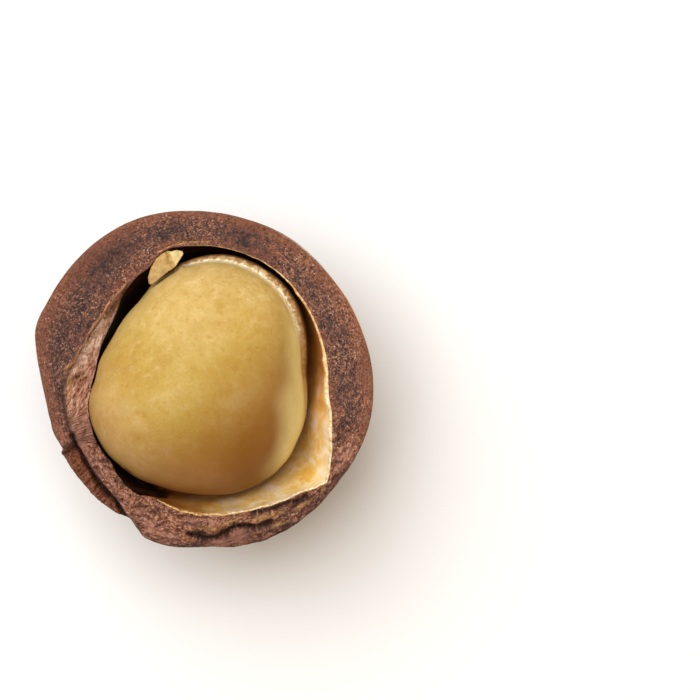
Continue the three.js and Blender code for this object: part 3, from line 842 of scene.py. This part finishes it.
def shell_patterns(s):
    """The shell's noises, kept on its surface because several zones share them."""
    flow = s.attribute("flow", vector=True)
    s.blots = s.noise(1.1, 3, 0.6, 0.4)
    s.mottle = s.noise(0.42, 3, 0.65)
    s.fine = s.noise(0.12, 2, 0.6)
    s.patch = s.noise(1.3, 4, 0.6, 0.5)
    s.grains = s.noise(0.13, 3, 0.85, 0.0, flow, (1.5, 1.5, 1))
    s.fibre = s.noise(0.15, 2.5, 0.7, 0.5, flow, (2.6, 2.6, 1))
    s.strands = s.noise(0.5, 3, 0.6, 0.6, flow, (3.5, 3.5, 1))
    s.threads = s.noise(0.13, 3, 0.75, 0.3, flow, (6, 6, 1))
    s.specks = s.scattered(0.16, flow, (1.4, 1.4, 1), "Red", (0.12, 0.42), (0.3, 0.95))
    edge = s.math("ADD", s.attribute("broken"), s.band(s.mottle, 0.3, 0.7, -0.3, 0.3))
    s.broken = s.band(edge, 0.35, 0.65)
    s.lit_side = s.attribute("lit_side")
    s.side = s.math("ADD", s.lit_side, s.band(s.noise(1.8, 3, 0.5), 0.3, 0.7, -0.9, 0.9))


def sawn_colour(s):
    """The sawn rim: dark in the middle, redder outside, with pale grit and black blots."""
    across, inner_dark = s.attribute("across"), s.attribute("inner_dark")
    shifted = s.math("ADD", across, inner_dark)
    middle = s.times(s.band(shifted, 0.08, 0.3), s.band(shifted, 0.62, 0.82, 1.0, 0.0))
    quiet = s.band(s.attribute("quiet"), 0.1, 0.9, 1.0, 0.3)
    loud = s.times(s.band(s.noise(2.4, 2, 0.5), 0.38, 0.6, 0.5, 1.0), quiet)
    loud = s.times(loud, s.band(across, 0.7, 1.0, 1.0, 0.75))
    bright = s.math("ADD", s.grains, s.band(s.mottle, 0.3, 0.7, -0.07, 0.05))
    bright = s.math("ADD", bright, s.times(inner_dark, 0.3))
    return s.layered(
        s.ramp(
            s.math("ADD", shifted, s.band(s.blots, 0.3, 0.7, -0.1, 0.1)),
            (0.0, "#6b3f2d"), (0.14, "#63392b"), (0.34, "#4c302a"), (0.58, "#4e2f28"),
            (0.74, "#60392b"), (0.88, "#6d402d"), (0.97, "#704029"), (1.0, "#7a482a"),
        ),
        ("#1f1617", s.times(s.band(s.blots, 0.52, 0.62, 0.0, 0.85), middle)),
        ("#774633", (s.mottle, 0.45, 0.65, 0.0, 0.5)),
        ("#2b1b1d", s.times(s.band(s.strands, 0.5, 0.62, 0.0, 0.7), middle)),
        ("#955a43", (s.grains, 0.4, 0.6, 0.4, 0.9), "pink"),
        ("#221313", (s.grains, 0.49, 0.37, 0.0, 0.9)),
        ("#99694f", s.times(loud, s.band(bright, 0.5, 0.63, 0.0, 0.95))),
        ("#c09a86", s.times(loud, s.specks, s.band(s.mottle, 0.35, 0.6, 0.5, 1.0))),
        # dark patches, partly painted shade on the lower right edge
        ("#271817", (s.grains, 0.4, 0.6, 0.8, 0.2), "dark_and_shade"),
        ("#9d6c40", (s.grains, 0.4, 0.6, 0.1, 0.6), "tan"),
    )


def torn_colour(s):
    """The broken rim: torn fibres, straight ones on the bevel."""
    straight = s.ramp(s.threads, (0.34, "#40221a"), (0.43, "#81523d"), (0.51, "#ab7a60"), (0.6, "#d3ab92"))
    ledge = s.ramp(s.grains, (0.36, "#2f160d"), (0.46, "#62331c"), (0.56, "#7b4528"), (0.7, "#a0705a"))
    return s.layered(
        s.ramp(
            s.fibre,
            (0.28, "#321810"), (0.38, "#5f3523"), (0.46, "#7b4c35"), (0.54, "#936048"), (0.65, "#ba886f"),
        ),
        ("#46251a", (s.strands, 0.47, 0.6, 0.0, 0.75)),
        ("#2e1710", (s.grains, 0.49, 0.38, 0.0, 0.88)),
        ("#b98e79", s.times(s.specks, 0.8)),
        (straight, 0.85, "bevel"),
        ("#ac7a69", (s.threads, 0.42, 0.57, 0.0, 0.85), "pink"),
        ("#e8cbbb", (s.threads, 0.36, 0.5, 0.25, 1.0), "pale_and_highlight"),
        (s.ramp(s.mottle, (0.35, "#7c4e3c"), (0.65, "#906252")), 0.85, "plain"),
        (ledge, 0.9, "ledge"),
        # dark patches, partly painted shade on the lower right edge
        ("#281610", (s.grains, 0.4, 0.62, 0.9, 0.35), "dark_and_shade"),
        ("#a67d48", (s.grains, 0.36, 0.56, 0.3, 1.0), "tan"),
    )


def rim_colour(s):
    crevice = s.math("ADD", s.attribute("crevice"), s.band(s.grains, 0.3, 0.7, -0.4, 0.4))
    return s.layered(
        sawn_colour(s),
        (torn_colour(s), s.broken),
        # painted highlights along the rim's outer edge, golden and pale
        ("#a8652b", (s.fine, 0.4, 0.6, 0.4, 0.9), "gold_edge_highlight"),
        ("#d3bfb0", (s.fine, 0.4, 0.6, 0.3, 0.9), "pale_edge_highlight"),
        ("#cf9257", (s.threads, 0.4, 0.56, 0.1, 1.0), "streak"),
        # painted shade: near-black deep in the crevices and creases
        ("#170a06", (crevice, 0.55, 1.1)),
    )


def lining_colour(s):
    """The lining: cream glaze on one side of the hollow, dark brown on the other, made near-black there
    partly as painted shade, with a pale lip.
    """
    depth = s.attribute("depth")
    lit = s.band(s.lit_side, 3.0, 8.0)
    uneven = s.noise(0.3, 3, 0.65)
    golden_lip = s.ramp(uneven, (0.35, "#a8763c"), (0.48, "#c69a5e"), (0.58, "#d6b37c"), (0.7, "#e6cda4"))
    white_lip = s.ramp(uneven, (0.35, "#cfa668"), (0.48, "#e2c898"), (0.58, "#ead8b6"), (0.7, "#f3e8d3"))
    cream = s.layered(
        s.ramp(
            s.patch,
            (0.34, "#e0ae47"), (0.43, "#e8c062"), (0.51, "#edce8a"), (0.59, "#f3dcad"), (0.7, "#f8ead0"),
        ),
        ("#cc8a30", s.band(s.noise(0.5, 3, 0.6), 0.58, 0.74, 0.0, 0.3)),
        # painted highlights: small pale flecks on the glaze
        ("#f6e8cf", (s.fine, 0.5, 0.72, 0.0, 0.35)),
        # painted shade: the cream deepening to orange lower in the hollow
        ("#e6a552", (depth, 1.5, 6.0, 0.0, 0.5)),
        # painted shade: orange-brown deeper under the mouth on the right
        ("#ec8e35", (depth, 0.1, 1.2, 0.35, 0.9), "shade"),
    )
    return s.layered(
        # dark brown lining: its own colour, made near-black partly as painted shade
        s.ramp(s.patch, (0.3, "#1a0f0a"), (0.55, "#31190f"), (0.75, "#553020")),
        ("#7d4219", (s.side, -0.7, 0.3)),
        ("#b9752c", (s.side, -0.2, 0.6, 0.0, 0.5)),
        (cream, (s.side, 0.6, 7.0)),
        ("#dfb03e", (s.patch, 0.35, 0.6, 0.85, 0.4), "golden"),
        # painted highlight on the lining by the mouth at the right
        ("#fbeedd", 0.75, "pale_and_highlight"),
        ("#f4e2bf", s.times(lit, s.band(depth, 0.05, 0.9, 0.7, 0.0))),
        (s.mix(lit, golden_lip, white_lip), s.attribute("lip")),
    )


def outside_colour(s):
    """The outside: polished brown, with fine lines from the stalk end to the germination point."""
    axis = math.radians(180 + GERM_ANGLE)
    cos, sin = math.cos(axis), math.sin(axis)
    stalk, germ = [(along * cos, along * sin, RIM_Z - below) for along, below in (STALK_END, GERM_END)]
    below_axis = s.math("SUBTRACT", LINES_AXIS_Z, s.reach((0, 0, 1)))
    turn = s.math("ARCTAN2", below_axis, s.reach((-sin, cos, 0)))
    place = {0: s.times(turn, LINES_RADIUS), 1: s.reach((cos, sin, 0)), 2: 0.0}
    place = s.node("CombineXYZ", place).outputs[0]
    s.lines = s.noise(0.3, 3, 0.6, 0.5, place, (1, 14, 1))
    dots = s.scattered(0.75, place, (1, 1.6, 1), "Green", (0.12, 0.26), (0.55, 0.7))
    s.scar = s.near(stalk, 2.2, 3.6)
    scar_colour = s.ramp(s.mottle, (0.3, "#66442e"), (0.55, "#8c6b4d"), (0.75, "#a88b6d"))
    return s.layered(
        s.ramp(
            s.noise(4.0, 3, 0.55, 0.3),
            (0.3, "#562b13"), (0.48, "#74401b"), (0.6, "#895324"), (0.75, "#9c6733"),
        ),
        ("#562b13", (s.lines, 0.45, 0.62, 0.0, 0.55)),
        ("#b88850", (s.lines, 0.34, 0.44, 0.4, 0.0)),
        ("#c1996b", s.times(dots, 0.6)),
        (scar_colour, s.times(s.scar, s.band(s.mottle, 0.3, 0.6, 0.6, 1.0))),
        ("#bba27c", s.near(germ, 0.5, 0.8)),
        ("#633b1d", s.near(germ, 0.15, 0.35)),
    )


def shell_material():
    s = Surface("macadamia_shell")
    shell_patterns(s)
    inside, outside = s.attribute("inside"), s.attribute("outside")
    colour = s.mix(outside, s.mix(inside, rim_colour(s), lining_colour(s)), outside_colour(s))
    gloss = s.times(outside, s.band(s.scar, 0.0, 1.0, -0.45, 0.0))
    gloss = s.math("ADD", s.times(inside, -0.42), gloss)
    roughness = s.math("ADD", s.band(s.fine, 0.3, 0.7, 0.72, 0.85), gloss, clamp=True)
    torn = s.math("ADD", s.times(s.fibre, 1.2), s.times(s.grains, 0.4))
    relief = s.mix(inside, s.mix(s.broken, s.times(s.grains, 0.8), torn), s.times(s.patch, 0.5))
    relief = s.mix(outside, relief, s.times(s.lines, 0.2))
    return s.finish(
        colour, roughness, relief, 0.09, Specular_IOR_Level=0.35,
        Subsurface_Weight=s.times(inside, s.band(s.side, 0.2, 2.0), 0.2),
        Subsurface_Scale=0.002, Subsurface_Radius=(1.0, 0.7, 0.4),
    )


def kernel_material():
    s = Surface("macadamia_kernel")
    patch, fine = s.noise(0.9, 4, 0.65, 0.5), s.noise(0.2, 3, 0.65)
    colour = s.layered(
        s.ramp(
            s.noise(3.0, 4, 0.55, 0.3),
            (0.32, "#a58230"), (0.45, "#ac8c3b"), (0.57, "#b39547"), (0.7, "#ba9f5c"),
        ),
        ("#c4a46d", (patch, 0.52, 0.72, 0.0, 0.45)),
        ("#a1782a", (patch, 0.28, 0.44, 0.35, 0.0)),
        # painted light: the kernel paler towards +Y
        (s.ramp(patch, (0.3, "#b5934a"), (0.7, "#cdb077")), 0.8, "painted_light_upper"),
        (s.ramp(patch, (0.3, "#a77b43"), (0.7, "#b99266")), 0.65, "rosy"),
        ("#a5731f", s.band(s.noise(0.55, 3, 0.6), 0.55, 0.72, 0.0, 0.4)),
        ("#c7ab76", (fine, 0.52, 0.75, 0.0, 0.35)),
        ("#926725", (fine, 0.3, 0.45, 0.25, 0.0)),
        # painted shade: the kernel browner and darker on its lower right
        ("#743f03", 0.88, "painted_shade_lower_right"),
        # painted light: a pale band along the kernel's right side
        ("#d8c382", (patch, 0.3, 0.7, 0.78, 0.95), "flank_light"),
        # painted shade along the kernel's lower edge
        ("#a3723a", (patch, 0.3, 0.7, 0.4, 0.7), "painted_bottom_shade"),
        ("#8a3310", s.near(SCRAP_PLACE, 0.2, 0.5)),
    )
    # the seam: brown at its foot, partly the skin's own colour and partly painted shade under the upper leaf,
    # tan and greyish above, with a pale line along the upper leaf's edge
    uneven = s.noise(0.4, 3, 0.65, 0.5)
    shelf = s.math("ADD", s.attribute("shelf"), s.band(uneven, 0.3, 0.7, -0.18, 0.18))
    greyish = s.times(s.attribute("seam_pale"), s.band(shelf, 0.12, 0.4), s.band(uneven, 0.4, 0.55, 0.1, 0.8))
    bare = s.ramp(shelf, (0.0, "#5a340e"), (0.2, "#70441a"), (0.5, "#8f602b"), (0.85, "#ad8144"))
    from_seam = s.attribute("seam")
    under = s.times(s.band(from_seam, 0.16, 0.24, 1.0, 0.0), s.band(s.attribute("seam_side"), 0.1, 0.5))
    line = s.times(s.band(shelf, 0.6, 0.9), s.band(from_seam, 0.5, 1.25, 1.0, 0.0), s.attribute("seam_line"))
    colour = s.layered(
        colour,
        (s.mix(greyish, bare, "#bfa57c"), s.times(under, 0.9)),
        ("#f0e2c0", s.times(line, s.band(s.noise(0.3, 3, 0.65), 0.4, 0.56, 0.4, 1.0))),
    )
    relief = s.math("ADD", s.times(fine, 0.5), s.times(patch, 0.5))
    return s.finish(
        colour, s.band(patch, 0.3, 0.7, 0.46, 0.6), relief, 0.03,
        Specular_IOR_Level=0.2, Subsurface_Weight=0.2,
        Subsurface_Scale=0.0012, Subsurface_Radius=(1.0, 0.5, 0.18),
    )


def chip_material():
    s = Surface("macadamia_chip")
    patch, fine = s.noise(0.45, 3, 0.6, 0.4), s.noise(0.14, 3, 0.6)
    colour = s.layered(
        s.ramp(patch, (0.32, "#8f6a2a"), (0.5, "#a37e38"), (0.68, "#b3914c")),
        ("#c2a668", (fine, 0.5, 0.72, 0.0, 0.45)),
        ("#d3bd82", (patch, 0.3, 0.6, 0.5, 0.9), "folded"),
    )
    return s.finish(
        colour, 0.5, fine, 0.06,
        Subsurface_Weight=0.15, Subsurface_Scale=0.001, Subsurface_Radius=(1.0, 0.6, 0.25),
    )


# The object

for piece, node, slot, material in (
    (make_shell(), "half_shell", "shell", shell_material()),
    (make_kernel(), "kernel", "kernel", kernel_material()),
    (make_chip(), "kernel_chip", "chip", chip_material()),
):
    piece.data.materials.append(material)
    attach(piece, "root")
    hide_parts(node)


# Floor, light and camera

FLOOR_HALF = 3
FLOOR_COLOUR = (0.76, 0.76, 0.765, 1)
LIGHT_TARGET = Vector((0, 0, 0.012))
# Soft square lights: name, degrees from +X and up, distance and size in metres, power, colour
LIGHTS = (
    ("key", 128, 60, 0.42, 0.46, 2.75, (0.89, 0.945, 1.0)),
    ("overhead", 90, 88, 0.55, 0.50, 0.95, (1.0, 0.88, 0.74)),
    ("side", -8, 5, 0.35, 0.10, 0.5, (1.0, 0.94, 0.66)),
)
WORLD_COLOUR = (1.0, 0.8, 0.6, 1)
WORLD_STRENGTH = 0.38
# The camera looks straight down from above a point to the right of the nut, as in the photograph
CAMERA_PLACE = (10.87, 2.15)
CAMERA_HEIGHT = 220
FRAME_WIDTH = 51.9
SENSOR_WIDTH = 36


def make_floor():
    mesh = bpy.data.meshes.new("floor")
    corners = [(x * FLOOR_HALF, y * FLOOR_HALF, 0) for x, y in ((-1, -1), (1, -1), (1, 1), (-1, 1))]
    mesh.from_pydata(corners, [], [(0, 1, 2, 3)])
    floor = placed("floor", mesh)
    material = bpy.data.materials.new("floor")
    material.use_nodes = True
    shader = material.node_tree.nodes["Principled BSDF"]
    shader.inputs["Base Color"].default_value = FLOOR_COLOUR
    shader.inputs["Roughness"].default_value = 0.7
    shader.inputs["Specular IOR Level"].default_value = 0.2
    mesh.materials.append(material)


def make_light(name, azimuth, elevation, distance, size, power, colour):
    a, e = math.radians(azimuth), math.radians(elevation)
    way = Vector((math.cos(a) * math.cos(e), math.sin(a) * math.cos(e), math.sin(e)))
    data = bpy.data.lights.new(name, "AREA")
    data.size, data.energy, data.color = size, power, colour
    light = placed(name, data)
    light.location = LIGHT_TARGET + way * distance
    light.rotation_euler = way.to_track_quat("Z", "Y").to_euler()


def make_world():
    world = bpy.data.worlds.new("studio")
    world.use_nodes = True
    background = world.node_tree.nodes["Background"]
    background.inputs["Color"].default_value = WORLD_COLOUR
    background.inputs["Strength"].default_value = WORLD_STRENGTH
    bpy.context.scene.world = world
    bpy.context.scene.view_settings.view_transform = "Standard"


def make_camera():
    data = bpy.data.cameras.new("camera")
    data.sensor_width = SENSOR_WIDTH
    data.lens = SENSOR_WIDTH * CAMERA_HEIGHT / FRAME_WIDTH
    data.clip_start, data.clip_end = 0.01, 20
    camera = placed("camera", data)
    camera.location = (CAMERA_PLACE[0] * MM, CAMERA_PLACE[1] * MM, (RIM_Z + CAMERA_HEIGHT) * MM)
    bpy.context.scene.camera = camera


make_floor()
for light in LIGHTS:
    make_light(*light)
make_world()
make_camera()
